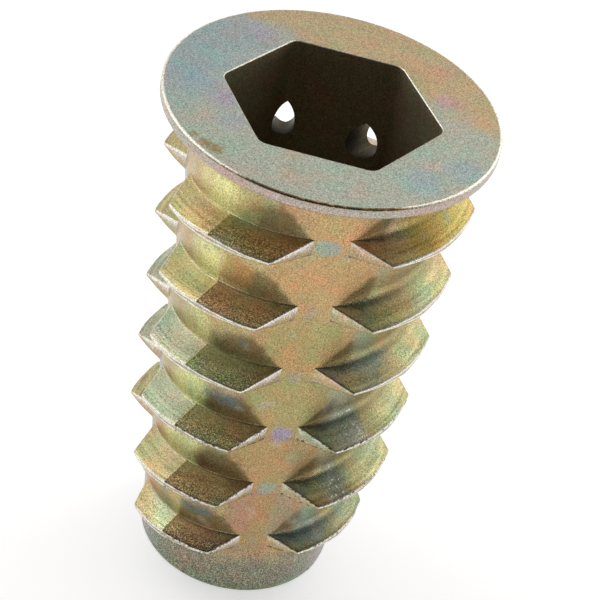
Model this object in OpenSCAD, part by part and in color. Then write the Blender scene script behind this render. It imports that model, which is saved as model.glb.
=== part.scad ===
// Hex-drive threaded insert for wood, die cast in one piece.
// It stands on its tip with the flange up: the origin is the middle of the tip face and +Z is the axis.

/* [Overall] */
// Length from the tip face to the flange face
length = 25; // [22:0.5:32]
// Diameter of the flange
flange_diameter = 14.4; // [14.2:0.1:17]
// Height of the flange's side wall
flange_edge = 0.5; // [0.4:0.05:0.9]
// Rounding of the flange's rim
rim_round = 0.1; // [0.05:0.01:0.18]

/* [Body] */
// Diameter of the tapered body where it would meet the flange face
body_top_diameter = 11.38; // [11.2:0.02:11.8]
// Diameter of the body at the tip face
body_tip_diameter = 9.16; // [8.8:0.02:9.8]
// Rounding of the tip's edge
tip_round = 0.2; // [0.1:0.05:0.4]
// Size of the fillet between the flange and the body
neck_fillet = 0.4; // [0.2:0.05:0.6]

/* [Wood thread] */
// Rise of the single-start thread in one turn
thread_pitch = 3.6; // [3:0.05:4.2]
// Depth below the flange face at which the first notch column cuts the thread
thread_drop = 2.93; // [2.6:0.05:3.4]
// Crest diameter where it would meet the flange face
crest_top_diameter = 13.9; // [13.4:0.05:14]
// Crest diameter at the end of the full turns
crest_low_diameter = 12.5; // [11.8:0.05:12.9]
// Crest diameter of the lead-in turn at the tip
crest_lead_diameter = 11.4; // [10.8:0.05:11.6]
// Depth below the flange face at which the full turns end
full_depth = 19; // [15:0.25:20]
// Length over which the crest steps down to the lead-in turn
lead_step = 1.7; // [1:0.1:2.5]
// Length of plain body kept free of thread above the tip face
plain_tip = 2.2; // [1.8:0.1:3]
// Drop of the upper flank from the body to the crest
flank_drop = 0.63; // [0.4:0.01:0.9]
// Drop of the lower flank from the crest to the body
under_drop = 0.12; // [0.1:0.01:0.6]
// Height of the crest beside a notch column
land_narrow = 0.13; // [0.08:0.01:0.3]
// Height of the crest on a parting line
land_wide = 0.36; // [0.2:0.01:0.5]
// Rise of the flank on a parting line above the plain helix
parting_rise = 0.17; // [0:0.01:0.25]
// Further rise of the crest on a parting line
crest_rise = 0.18; // [0:0.01:0.25]
// Growth of the crest's radius on a parting line
parting_bulge = 0.17; // [0:0.01:0.2]

/* [Notch columns] */
// Half angle of the plain strip of body in each column
strip_half_angle = 7.2; // [4:0.1:10]
// Half angle of the column between the crest corners
corner_half_angle = 21.2; // [17:0.1:26]

/* [Drive socket and bore] */
// Width across the flats of the socket
socket_flats = 8.2; // [8:0.05:8.4]
// Depth of the socket
socket_depth = 8; // [6:0.25:10]
// Rounding of the socket's corners
socket_round = 0.55; // [0.1:0.05:0.8]
// Width of the ledge round the cone at the socket's foot
socket_ledge = 0.35; // [0.1:0.05:0.6]
// Depth of the cone that leads from the socket to the bore
lead_cone = 0.7; // [0.3:0.1:1.2]
// Bore diameter inside the machine thread
bore_diameter = 6.65; // [6.4:0.05:6.9]
// Chamfer of the bore at the tip face
bore_chamfer = 0.25; // [0.1:0.05:0.4]

/* [Wall openings] */
// Angles of the two small openings in the socket wall
opening_angles = [100, 149]; // [0:1:360]
// Depth of the openings' middle below the flange face
opening_depth = 4.1; // [3.6:0.1:4.6]
// Width of an opening
opening_width = 1.1; // [0.6:0.05:1.2]
// Height of an opening
opening_height = 1.65; // [1.3:0.05:1.8]

/* [Hidden] */

// Fineness of the round parts and of the small roundings
$fn = 96;
round_steps = 4;
// Facets of the thread between two notch columns, an even number
lobe_steps = 8;

columns = 4;
column_angle = 360 / columns;
half_column = column_angle / 2;
lobe_reach = half_column - corner_half_angle;
// How far a piece runs into its neighbour, and a cut past a face
sink = 0.4;
overrun = 1;
// Depth of the first thread lobe's upper end inside the flange
start_depth = 0.15;
// Share of its height that the last lobe keeps at its end
run_out_share = 0.1;

flange_radius = flange_diameter / 2;
body_top_radius = body_top_diameter / 2;
body_tip_radius = body_tip_diameter / 2;
socket_sides = 6;
half_side = 180 / socket_sides;
socket_corner_radius = socket_flats / 2 / cos(half_side);
bore_radius = bore_diameter / 2;
lead_radius = socket_flats / 2 - socket_ledge;
flange_under = length - flange_edge;

// A lobe is the stretch of thread between two columns. Lobe 0 has its middle at angle 0.
first_lobe = floor((thread_drop - start_depth) * columns / thread_pitch - 1);
last_lobe = ceil((plain_tip + thread_drop - length) * columns / thread_pitch);

// Outline points of a quarter round about c, from angle a to angle b
function arc(c, r, a, b) =
    [for (i = [0 : round_steps]) let (t = a + (b - a) * i / round_steps) c + r * [cos(t), sin(t)]];

// Radius of the tapered body at height z
function body_radius(z) = body_tip_radius + (body_top_radius - body_tip_radius) * z / length;

// Radius of the thread's crest at height z
function crest_radius(z) =
    lookup(length - z, [
        [0, crest_top_diameter / 2],
        [full_depth, crest_low_diameter / 2],
        [full_depth + lead_step, crest_lead_diameter / 2],
    ]);

// Share of the full thread height at angle t, which fades over the last lobe
function height_share(t) =
    let (run = (t - (last_lobe * column_angle - half_column)) / column_angle)
    min(1, run_out_share + (1 - run_out_share) * max(0, run));

// Angle between t and the nearest parting line, which is midway between two columns
function off_parting(t) = abs(t - column_angle * round(t / column_angle));

// Share of a lobe's swelling at angle t, from none amid a column to all of it on a parting line
function parting_share(t) = (1 - cos(half_column - off_parting(t))) / (1 - cos(half_column));

// Height at which the upper flank leaves the body at angle t
function flank_root(t) =
    length - thread_drop + thread_pitch * (t + half_column) / 360 + parting_rise * parting_share(t);

// Height of the crest at angle t
function land(t) = land_wide + (land_narrow - land_wide) * off_parting(t) / lobe_reach;

function at(r, t, z) = [r * cos(t), r * sin(t), z];

// One thread section at angle t: upper flank, crest top, crest foot, lower flank.
// The first and last points lie inside the body, on the lines of the flanks.
function section(t) =
    let (
        top = flank_root(t),
        root = body_radius(top),
        full = crest_radius(top - flank_drop) + parting_bulge * parting_share(t) - root,
        drop = flank_drop - crest_rise * parting_share(t),
        share = height_share(t),
        crest_top = top - drop * share,
        crest_foot = crest_top - land(t)
    )
    [
        at(root - sink, t, top + drop * sink / full),
        at(root + full * share, t, crest_top),
        at(root + full * share, t, crest_foot),
        at(root - sink, t, crest_foot - under_drop * (share + sink / full)),
    ];

// The lobe's end inside the body, on the line from the crest corner past the edge of the strip
function nose(corner, strip) =
    let (
        top = flank_root(strip),
        edge = at(body_radius(top), strip, 0),
        out = [corner[1].x, corner[1].y, 0],
        past = sink / norm(out - edge),
        foot = top - flank_drop - (corner[1].z - corner[2].z) - under_drop,
        inside = edge - (out - edge) * past
    )
    [
        [inside.x, inside.y, top + flank_drop * past],
        [inside.x, inside.y, foot - under_drop * past],
    ];

module lobe(index) {
    middle = index * column_angle;
    angles = [for (i = [0 : lobe_steps]) middle + lobe_reach * (2 * i / lobe_steps - 1)];
    sections = [for (t = angles) section(t)];
    low = nose(sections[0], middle - half_column + strip_half_angle);
    high = nose(sections[lobe_steps], middle + half_column - strip_half_angle);
    points = concat([for (s = sections) each s], low, high);
    corners = len(sections[0]);
    low_nose = corners * (lobe_steps + 1);
    high_nose = low_nose + len(low);
    end = corners * lobe_steps;
    // Two triangles for each side of the stretch between neighbouring sections
    sides = [
        for (i = [0 : lobe_steps - 1], j = [0 : corners - 1])
            let (a = corners * i + j, b = corners * i + (j + 1) % corners)
            each [[a, a + corners, b], [b, a + corners, b + corners]]
    ];
    low_end = [
        [1, 0, low_nose],
        [3, 2, low_nose + 1],
        [2, 1, low_nose],
        [2, low_nose, low_nose + 1],
        [0, 3, low_nose],
        [3, low_nose + 1, low_nose],
    ];
    high_end = [
        [end, end + 1, high_nose],
        [end + 2, end + 3, high_nose + 1],
        [end + 1, end + 2, high_nose],
        [end + 2, high_nose + 1, high_nose],
        [end + 3, end, high_nose],
        [end + 3, high_nose, high_nose + 1],
    ];
    polyhedron(points, concat(sides, low_end, high_end));
}

// Flange, fillet, tapered body and rounded tip, turned in one
module core() {
    rotate_extrude()
        polygon(concat(
            [[0, 0]],
            arc([body_tip_radius - tip_round, tip_round], tip_round, -90, 0),
            arc(
                [body_radius(flange_under - neck_fillet) + neck_fillet, flange_under - neck_fillet],
                neck_fillet, 180, 90
            ),
            arc([flange_radius - rim_round, flange_under + rim_round], rim_round, -90, 0),
            arc([flange_radius - rim_round, length - rim_round], rim_round, 0, 90),
            [[0, length]]
        ));
}

// Six-sided socket with rounded corners on the Y axis, and the cone at its foot
module socket() {
    corner = socket_corner_radius - socket_round / cos(half_side);
    translate([0, 0, length - socket_depth])
        linear_extrude(socket_depth + overrun)
            polygon([
                for (k = [1 : socket_sides])
                    let (a = half_side * (2 * k - 1))
                    each arc(corner * [cos(a), sin(a)], socket_round, a - half_side, a + half_side)
            ]);
    translate([0, 0, length - socket_depth - lead_cone])
        cylinder(h = lead_cone, r1 = bore_radius, r2 = lead_radius);
}

module bore() {
    translate([0, 0, -overrun])
        cylinder(h = length, r = bore_radius);
    translate([0, 0, -bore_chamfer])
        cylinder(h = 2 * bore_chamfer, r1 = bore_radius + 2 * bore_chamfer, r2 = bore_radius);
}

// Small upright opening with round ends, cut through the wall at one angle
module wall_opening(angle) {
    reach = body_top_radius + sink;
    offset_z = (opening_height - opening_width) / 2;
    translate([0, 0, length - opening_depth])
        rotate([0, 0, angle])
            union() {
                for (side = [-1, 1])
                    translate([0, 0, side * offset_z])
                        rotate([0, 90, 0])
                            cylinder(h = reach, d = opening_width);
                translate([0, -opening_width / 2, -offset_z])
                    cube([reach, opening_width, 2 * offset_z]);
            }
}

module threaded_insert() {
    color("darkkhaki")
        difference() {
            union() {
                core();
                for (index = [last_lobe : first_lobe])
                    lobe(index);
            }
            socket();
            bore();
            for (angle = opening_angles)
                wall_opening(angle);
        }
}

threaded_insert();
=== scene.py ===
# %% [markdown]
# # A threaded insert for wood
# This script dresses one imported part: a die-cast zinc insert with a hexagon socket, a coarse notched
# thread outside and a fine machine thread inside. The imported model is loaded first and never changed.

# %% Load the imported part
import math

import bpy
import bmesh
import numpy as np
from mathutils import Matrix, Vector
from mathutils.kdtree import KDTree


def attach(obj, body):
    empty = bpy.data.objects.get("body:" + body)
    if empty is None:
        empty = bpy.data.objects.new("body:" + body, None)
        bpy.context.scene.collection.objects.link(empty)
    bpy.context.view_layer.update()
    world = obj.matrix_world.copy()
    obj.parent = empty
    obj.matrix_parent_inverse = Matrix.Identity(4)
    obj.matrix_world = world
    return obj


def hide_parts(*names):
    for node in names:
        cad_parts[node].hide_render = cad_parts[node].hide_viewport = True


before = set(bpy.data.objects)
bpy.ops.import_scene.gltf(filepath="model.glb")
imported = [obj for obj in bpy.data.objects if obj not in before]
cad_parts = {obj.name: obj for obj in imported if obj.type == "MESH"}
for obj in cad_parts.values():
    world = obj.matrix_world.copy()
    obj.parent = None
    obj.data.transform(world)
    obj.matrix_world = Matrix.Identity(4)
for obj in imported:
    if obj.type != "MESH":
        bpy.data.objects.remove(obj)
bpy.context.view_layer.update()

MM = 0.001

# %% [markdown]
# ## Sizes
# The body of the real insert tapers towards the tip, and the crest of its thread tapers with it and drops
# faster over the last turn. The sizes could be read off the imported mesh, but named values are easier to
# follow. They are in millimetres and agree with the part's source. The insert stands on its tip, so heights
# count up from the tip face, and angles are in degrees round the axis.

# %% Sizes of the insert
LENGTH, FLANGE_EDGE = 25.0, 0.5
FLANGE_UNDER = LENGTH - FLANGE_EDGE
BODY_TOP_R, BODY_TIP_R = 5.69, 4.58
CREST_DEPTHS, CREST_RADII = [0, 19.0, 20.7], [6.95, 6.25, 5.7]


def body_radius(z):
    return BODY_TIP_R + (BODY_TOP_R - BODY_TIP_R) * z / LENGTH


def crest_radius(z):
    return np.interp(LENGTH - z, CREST_DEPTHS, CREST_RADII)


print("under the flange: body radius %.2f mm, crest radius %.2f mm"
      % (body_radius(FLANGE_UNDER), crest_radius(FLANGE_UNDER)))

# %% [markdown]
# ## Angles that follow the features
# Four notch columns run down the thread at -45, 45, 135 and 225 degrees, and the mould's parting lines lie
# midway between them. A mesh shades cleanly when its lines lie on the real edges. So the insert is laid out
# on a grid whose upright lines stand at chosen angles: on the parting lines, on the notch corners, on the
# edges of the plain strips and round the corners of the socket, with wider steps between them.

# %% Columns of the grid
QUARTER, HALF_COLUMN = 90, 45.0
NOTCH_COLUMNS = [QUARTER * k - HALF_COLUMN for k in range(4)]
OFFSETS = [0, 2.4, 4.8, 6.4, 7.2, 8, 9.2, 10.4, 11.56, 12.4, 13.3, 14.2, 15, 15.8, 16.7, 17.6, 18.44,
           19.4, 20.2, 20.8, 21.2, 21.7, 22.4, 23.4, 24.8, 26.4, 28, 29.6, 31.2, 32.8, 34.4, 36, 37.6,
           39.2, 40.4, 41.56, 42.4, 43.3, 44.2, 44.7, 45]
ANGLES = {round(c + side * a, 6) for c in NOTCH_COLUMNS for side in (-1, 1) for a in OFFSETS}
ANGLES = np.array(sorted(ANGLES))
ANGLES = ANGLES[(ANGLES >= -QUARTER + 1e-6) & (ANGLES <= 360 - QUARTER)]
print("grid columns:", len(ANGLES))

# %% [markdown]
# ## The coarse thread
# The thread is one right-hand helix. Looked at along one upright line, it is a row of low teeth: a sloping
# upper flank, a narrow crest and a nearly level underside. The mould's slides leave the flank a little higher
# on the parting line than beside it, and that fold makes the light change sharply there. At 0 degrees it is
# worn soft. A screw modifier could sweep one profile round the axis, but this profile changes on the way, so
# functions give it for every angle.

# %% Where the thread runs
PITCH, THREAD_DROP, FLANK_DROP = 3.6, 2.93, 0.63
PARTING_RISE, PARTING_BULGE, CREST_RISE = 0.17, 0.17, 0.18
ROUND_TIP, WORN_FOLD = 2.0, 16.0


def cosine(degrees):
    return math.cos(math.radians(degrees))


def sine(degrees):
    return math.sin(math.radians(degrees))


def from_parting(t):
    """Angle from the nearest parting line."""
    return np.abs(t - QUARTER * np.round(t / QUARTER))


def from_worn(t):
    """Angle from the worn parting line at 0 degrees."""
    return np.abs((t + 180) % 360 - 180)


def parting_share(t):
    """How near a parting line is: 1 on a crisp one, 0 in the middle of a notch column."""
    off = np.hypot(from_parting(t), np.where(from_worn(t) < HALF_COLUMN, WORN_FOLD, 0))
    return (1 - np.cos(np.radians(np.maximum(HALF_COLUMN - off, 0)))) / (1 - cosine(HALF_COLUMN))


def root_height(t):
    return LENGTH - THREAD_DROP + PITCH * (t + HALF_COLUMN) / 360 + PARTING_RISE * parting_share(t)


def flank_drop(t):
    return FLANK_DROP - CREST_RISE * parting_share(t)


def body_at(t, z):
    """Radius of the body at angle t, where it swells towards the parting lines; the tip stays round."""
    return body_radius(z) + PARTING_BULGE * parting_share(t) * np.clip((z - ROUND_TIP) / ROUND_TIP, 0, 1)


print("root of the first turn at -90, 0 and 90 degrees, in mm:",
      [round(float(root_height(t)), 2) for t in (-90.0, 0.0, 90.0)])

# %% [markdown]
# ## One tooth
# The notch columns cut each tooth back along a flat face until nothing is left on the plain strip. Booleans
# could cut the notches, but they leave slivers on the curved flanks. So the notch is part of the profile,
# which says at each angle how much of the tooth is there. No corner of a casting is sharp: the crest is
# blended into the notch face and waves a little, and the last lobe runs out towards the tip.

# %% Profile of a tooth
STRIP_ANGLE, CORNER_ANGLE, CORNER_BLEND = 7.2, 21.2, 0.07
LAND_NARROW, LAND_WIDE = 0.13, 0.36
FIRST_LOBE, LAST_LOBE, RUN_OUT = 2, -22, 0.1
CREST_WAVE, WAVES = 0.02, ((0.081, 1.0), (0.193, 2.3), (0.441, 4.1))


def waviness(t):
    """A slow unevenness of a cast edge, from -1 to 1."""
    return sum(np.sin(t * rate + start) for rate, start in WAVES) / len(WAVES)


def notch_radius(t, body, crest):
    """Radius of the flat notch face at angle t, for a body and a crest radius."""
    a = np.radians(HALF_COLUMN - from_parting(t))
    start_x, start_y = body * cosine(STRIP_ANGLE), body * sine(STRIP_ANGLE)
    run_x, run_y = crest * cosine(CORNER_ANGLE) - start_x, crest * sine(CORNER_ANGLE) - start_y
    return (start_x * run_y - start_y * run_x) / (np.cos(a) * run_y - np.sin(a) * run_x)


def smooth_min(a, b, width):
    """The smaller of a and b, rounded where they meet."""
    h = np.clip(0.5 + 0.5 * (b - a) / width, 0, 1)
    return b + (a - b) * h - width * h * (1 - h)


def tooth(t):
    """Root height, body radius, full height, share of it that is there, and crest land at angle t."""
    top = root_height(t)
    body = body_at(t, top)
    crest = crest_radius(top - FLANK_DROP) + PARTING_BULGE * parting_share(t) + CREST_WAVE * waviness(t)
    reach = smooth_min(crest, notch_radius(t, body, crest), CORNER_BLEND)
    from_end = (t - (LAST_LOBE * QUARTER - HALF_COLUMN)) / QUARTER
    fade = np.clip(from_end * (1 - RUN_OUT) + RUN_OUT, RUN_OUT, 1)
    share = np.clip((reach - body) / (crest - body), 0, 1) * fade
    lobe = np.round(t / QUARTER)
    share = np.where((lobe > FIRST_LOBE) | (lobe < LAST_LOBE), 0.0, share)
    to_corner = np.minimum(1, from_parting(t) / (HALF_COLUMN - CORNER_ANGLE))
    land = LAND_WIDE + (LAND_NARROW - LAND_WIDE) * to_corner
    return top, body, crest - body, share, land


print("share of the tooth on a parting line, at a corner and on a strip:",
      [round(float(tooth(t)[3]), 2) for t in (0.0, HALF_COLUMN - CORNER_ANGLE, HALF_COLUMN)])

# %% [markdown]
# ## One turn of rows
# Each upright line gets the same list of points for every turn: a small fillet at the root, the flank, a
# rounded crest edge, the crest, its lower edge, the underside, a fillet and the plain body down to the next
# turn. A bevel modifier could round the edges, but it would round all of them alike, and the root on the
# worn side is a broad hollow. So the rounds are short curves of a few points, on which the light can catch.
# The kind of surface is kept with each point for the material.

# %% Rows of one turn
UNDER_DROP, THIN_EASE = 0.12, 0.2
ROOT_FILLET, EDGE_ROUND, UNDER_FILLET = 0.09, 0.085, 0.08
WORN_FILLET, WORN_REACH, WORN_BORDER = 0.45, 42, 15
FILLET_LIMIT, EDGE_LIMIT = 0.4, 0.45
ROOT_STEPS, ROUND_STEPS = (0, 0.25, 0.5, 0.75, 1), (0, 0.33, 0.67, 1)
BODY_STEPS = (0.12, 0.3, 0.5, 0.7, 0.88)
BODY, FLANK, EDGE, LAND, UNDER = 0, 1, 2, 3, 4


def bezier(a, b, c, s):
    return (1 - s) ** 2 * a + 2 * s * (1 - s) * b + s * s * c


def root_fillet(t):
    """Size of the fillet at the root, which is broad on the worn side at 0 degrees."""
    return ROOT_FILLET + WORN_FILLET * np.clip((WORN_REACH - from_worn(t)) / WORN_BORDER, 0, 1)


def turn_rows(t):
    """Radii, heights and kinds of the points of one turn at the angles t, from the root downwards."""
    top, body, full, share, land = tooth(t)
    drop = flank_drop(t)
    slope = np.hypot(full, drop)
    flank = share * slope
    flank_r, flank_z = full / slope, -drop / slope
    low = top - drop - land - UNDER_DROP
    crest_r, crest_z = body + full * share, top - drop * share
    foot_z = low + UNDER_DROP * share + THIN_EASE * (1 - share) ** 4
    low_body = body_at(t, low)
    under = np.hypot(crest_r - low_body, foot_z - low)
    under_r = (low_body - crest_r) / np.maximum(under, 1e-6)
    under_z = (low - foot_z) / np.maximum(under, 1e-6)
    root = np.minimum(root_fillet(t), FILLET_LIMIT * flank)
    edge = np.minimum(np.minimum(EDGE_ROUND, FILLET_LIMIT * flank), EDGE_LIMIT * (crest_z - foot_z))
    foot = np.minimum(UNDER_FILLET, FILLET_LIMIT * under)
    radii, heights, row_kinds = [], [], []

    def put(r, z, row_kind):
        radii.append(r)
        heights.append(z)
        row_kinds.append(row_kind)

    def put_round(start, corner, end, steps, kinds_there):
        for s, row_kind in zip(steps, kinds_there):
            put(bezier(start[0], corner[0], end[0], s), bezier(start[1], corner[1], end[1], s), row_kind)

    put_round((body_at(t, top + root), top + root), (body, top),
              (body + root * flank_r, top + root * flank_z), ROOT_STEPS, (BODY, BODY, FLANK, FLANK, FLANK))
    for s in ROOT_STEPS[1:-1]:
        d = root + (flank - root - edge) * s
        put(body + d * flank_r, top + d * flank_z, FLANK)
    put_round((crest_r - edge * flank_r, crest_z - edge * flank_z), (crest_r, crest_z),
              (crest_r, crest_z - edge), ROUND_STEPS, (FLANK, EDGE, EDGE, EDGE))
    put(crest_r, (crest_z + foot_z) / 2, LAND)
    put_round((crest_r, foot_z + edge), (crest_r, foot_z),
              (crest_r + edge * under_r, foot_z + edge * under_z), ROUND_STEPS, (EDGE, EDGE, EDGE, UNDER))
    for s in ROUND_STEPS[1:-1]:
        d = edge + (under - edge - foot) * s
        put(crest_r + d * under_r, foot_z + d * under_z, UNDER)
    put_round((low_body - foot * under_r, low - foot * under_z), (low_body, low),
              (body_at(t, low - foot), low - foot), ROUND_STEPS, (UNDER, UNDER, BODY, BODY))
    next_root = np.minimum(root_fillet(t), FILLET_LIMIT * tooth(t - 360)[3] * slope)
    for s in BODY_STEPS:
        z = (low - foot) + (root_height(t - 360) + next_root - low + foot) * s
        put(body_at(t, z), z, BODY)
    return np.array(radii), np.array(heights), row_kinds


ROWS = len(turn_rows(np.array([0.0]))[2])
print("rows in one turn:", ROWS)

# %% [markdown]
# ## A small mesh kit
# A mesh is a list of points and a list of faces that name them. It could be built with bmesh from the start,
# but plain lists are quick to fill, and a third one can hold the kind of surface at each point. Two rings of
# points with the same columns are joined with four-sided faces. Where the columns differ, a stitch walks
# round both rings and joins them with triangles, which is fine on a flat face.

# %% Lists that gather the mesh
points, kinds, faces = [], [], []


def add_face(corners):
    """Adds a face; corners that coincide count once, and a face that closes up is left out."""
    corners = list(dict.fromkeys(int(v) for v in corners))
    if len(corners) > 2:
        faces.append(corners)


def add_ring(angles, radii, heights, ring_kind):
    start = len(points)
    radii = np.broadcast_to(radii, np.shape(angles))
    heights = np.broadcast_to(heights, np.shape(angles))
    for a, r, z in zip(np.radians(angles), radii, heights):
        points.append((r * math.cos(a), r * math.sin(a), z))
        kinds.append(ring_kind)
    return list(range(start, len(points)))


def join_rings(upper, lower):
    n = len(upper)
    for j in range(n):
        k = (j + 1) % n
        add_face((upper[j], lower[j], lower[k], upper[k]))


def stitch(ring_a, angles_a, ring_b, angles_b):
    """Joins two rings with different columns by triangles, walking round both."""
    i = j = 0
    na, nb = len(ring_a), len(ring_b)
    while i < na or j < nb:
        next_a = angles_a[(i + 1) % na] + 360 * ((i + 1) // na)
        next_b = angles_b[(j + 1) % nb] + 360 * ((j + 1) // nb)
        if j >= nb or (i < na and next_a <= next_b):
            add_face((ring_a[i % na], ring_a[(i + 1) % na], ring_b[j % nb]))
            i += 1
        else:
            add_face((ring_a[i % na], ring_b[(j + 1) % nb], ring_b[j % nb]))
            j += 1


print("mesh kit ready")

# %% [markdown]
# ## A tube on a helix
# Both threads are tubes whose rows climb with the helix, so after one full turn round the axis a row meets
# the row one turn higher. A stack of level rings would be simpler, but its faces would cut across every
# thread edge and show as steps. Points of a column that coincide become one point.

# %% Tube whose rows follow a helix
SAME_POINT = 1e-4


def helix_tube(angles, radii, heights, row_kinds, rows_per_turn, inside=False):
    """Adds the points and faces of a tube and gives the number of the point in each row and column."""
    rows, columns = heights.shape
    ids = np.zeros((rows, columns), int)
    for j in range(columns):
        a = math.radians(angles[j])
        for i in range(rows):
            step = max(abs(heights[i, j] - heights[i - 1, j]), abs(radii[i, j] - radii[i - 1, j]))
            if i == 0 or step >= SAME_POINT:
                points.append((radii[i, j] * math.cos(a), radii[i, j] * math.sin(a), heights[i, j]))
                kinds.append(row_kinds[i])
            ids[i, j] = len(points) - 1
    for j in range(columns):
        for i in range(rows - 1):
            if j + 1 < columns:
                right, right_low = ids[i, j + 1], ids[i + 1, j + 1]
            else:
                right, right_low = (ids[min(max(i + d - rows_per_turn, 0), rows - 1), 0] for d in (0, 1))
            low = ids[i + 1, j]
            add_face((ids[i, j], right, right_low, low) if inside else (ids[i, j], low, right_low, right))
    return ids


print("points closer than", SAME_POINT, "mm become one")

# %% [markdown]
# ## The threaded shank
# The shank is the body with all its lobes. Its rows are held at the height of the neck and of the tip where
# they would pass them, which gives a clean closed tube with every thread edge on a line of the mesh. The two
# halves of a mould leave a fine seam, and the crisp parting lines carry one.

# %% Shank on the helix
NECK_FILLET, TIP_ROUND = 0.4, 0.2
NECK = FLANGE_UNDER - NECK_FILLET
TURNS = range(1, -9, -1)
SEAM_HEIGHT, SEAM_ANGLE = 0.02, 0.6


def ridge_radius(t, z):
    """Outer radius of the threaded shank at angle t and height z, where the teeth are near the flange."""
    best = body_at(t, z)
    for turn in (0, 1):
        top, body, full, share, land = tooth(t + 360.0 * turn)
        drop = flank_drop(t)
        low = top - drop - land - UNDER_DROP
        flank = body + full * np.minimum((top - z) / drop, share)
        foot = body + full * np.minimum((z - low) / UNDER_DROP, share)
        best = np.maximum(best, np.minimum(flank, foot))
    return best


turn_list = [turn_rows(ANGLES + 360.0 * turn) for turn in TURNS]
grid_r, grid_z = (np.concatenate([rows[i] for rows in turn_list]) for i in (0, 1))
grid_kinds = [row_kind for rows in turn_list for row_kind in rows[2]]
seam = np.clip(1 - from_parting(ANGLES) / SEAM_ANGLE, 0, 1) * (from_worn(ANGLES) > 1)
grid_r = grid_r + SEAM_HEIGHT * seam[None, :]
grid_r = np.where(grid_z > NECK, ridge_radius(ANGLES, NECK)[None, :], grid_r)
grid_r = np.where(grid_z < TIP_ROUND, body_at(ANGLES, TIP_ROUND)[None, :], grid_r)
shank_ids = helix_tube(ANGLES, grid_r, np.clip(grid_z, TIP_ROUND, NECK), grid_kinds, ROWS)
print("shank:", len(points), "points,", len(faces), "faces")

# %% [markdown]
# ## The flange
# The flange is a thin disc with a fillet under it, a rounded rim and a flat face. It could be a cylinder with
# a bevel, joined by a boolean, but rings on the columns of the shank grow straight out of it without a seam.

# %% Flange rings
FLANGE_R, RIM_ROUND = 7.2, 0.1
FILLET_STEPS, RIM_STEPS = (18, 36, 54, 72, 90), (0, 30, 60, 90)
FLAT, SIDE, WALL = 5, 6, 7


def climb(ring, radii, heights, ring_kind):
    """Adds the next ring on the shank's columns and joins it to the ring before."""
    following = add_ring(ANGLES, radii, heights, ring_kind)
    join_rings(following, ring)
    return following


ring = shank_ids[0].tolist()
neck_body, rim_r = body_at(ANGLES, NECK), FLANGE_R - RIM_ROUND
for s in FILLET_STEPS:
    z, fillet_r = NECK + NECK_FILLET * sine(s), neck_body + NECK_FILLET * (1 - cosine(s))
    ring = climb(ring, np.maximum(fillet_r, ridge_radius(ANGLES, z)), z, BODY)
start_r = np.maximum(neck_body + NECK_FILLET, ridge_radius(ANGLES, FLANGE_UNDER))
for s in (0.35, 0.7):
    ring = climb(ring, start_r + (rim_r - start_r) * s, FLANGE_UNDER, SIDE)
for s in RIM_STEPS:
    ring = climb(ring, rim_r + RIM_ROUND * sine(s), FLANGE_UNDER + RIM_ROUND - RIM_ROUND * cosine(s), SIDE)
ring = climb(ring, FLANGE_R, LENGTH - FLANGE_EDGE / 2, SIDE)
for s in RIM_STEPS:
    z = LENGTH - RIM_ROUND + RIM_ROUND * sine(s)
    ring = climb(ring, rim_r + RIM_ROUND * cosine(s), z, EDGE if s else SIDE)
print("with the flange:", len(points), "points")

# %% [markdown]
# ## The flange face and the hexagon socket
# The socket takes an 8 mm key and has rounded corners and a slightly broken edge. A boolean would cut it in
# one step, but the face would then be one ragged polygon. Here each ring of the face is a blend between the
# round rim and the hexagon, so the face is a set of clean strips.

# %% Face and socket rings
SOCKET_FLAT, SOCKET_DEPTH, SOCKET_ROUND, HEX_BREAK = 4.1, 8.0, 0.55, 0.07
SOCKET_FLOOR, WALL_START = LENGTH - SOCKET_DEPTH, LENGTH - 0.8
FACE_RINGS, WALL_RINGS = 11, 10


def socket_radius(angles):
    """Radius of the rounded hexagon at each angle; its flats face 0, 60, 120 degrees and so on."""
    a = np.abs((np.asarray(angles) + 30) % 60 - 30)
    flat = SOCKET_FLAT / np.cos(np.radians(a))
    centre = (SOCKET_FLAT - SOCKET_ROUND) / cosine(30)
    b = np.radians(30 - a)
    arc = centre * np.cos(b) + np.sqrt(np.maximum(SOCKET_ROUND ** 2 - (centre * np.sin(b)) ** 2, 0))
    touch = math.degrees(math.atan2(SOCKET_ROUND * sine(30), centre + SOCKET_ROUND * cosine(30)))
    return np.where(30 - a < touch + 1e-4, np.minimum(arc, flat), flat)


hexagon = socket_radius(ANGLES)
for s in np.linspace(0.02, 1, FACE_RINGS):
    ring = climb(ring, rim_r * (1 - s) + (hexagon + HEX_BREAK) * s, LENGTH, FLAT)
for s in RIM_STEPS[1:]:
    z = LENGTH - HEX_BREAK + HEX_BREAK * cosine(s)
    ring = climb(ring, hexagon + HEX_BREAK * (1 - sine(s)), z, EDGE if s < 90 else WALL)
for z in np.linspace(WALL_START, SOCKET_FLOOR, WALL_RINGS):
    ring = climb(ring, hexagon, z, WALL)
socket_ring = ring
print("with the face and the socket:", len(points), "points")

# %% [markdown]
# ## The machine thread in the bore
# A standard metric thread has a 60 degree profile with flat crests and roots, and this bore takes an M8 screw
# with a pitch of 1.25 mm. A bump could stand for so fine a thread, but the socket lets the eye look straight
# down on it. So it is a helix tube like the shank, held at the socket's floor and at the tip. A short cone at
# the top and a bevel at the tip lead the screw in.

# %% Bore with its thread
BORE_R, THREAD_R, BORE_PITCH = 3.325, 4.0, 1.25
LEAD_R, LEAD_HEIGHT, BORE_BEVEL = 3.75, 0.7, 0.5
BORE_COLUMNS, BORE_TURNS = 96, range(16, -3, -1)
BORE_STEP = 360 / BORE_COLUMNS
BORE_ANGLES = np.arange(BORE_COLUMNS) * BORE_STEP - QUARTER + BORE_STEP
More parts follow.
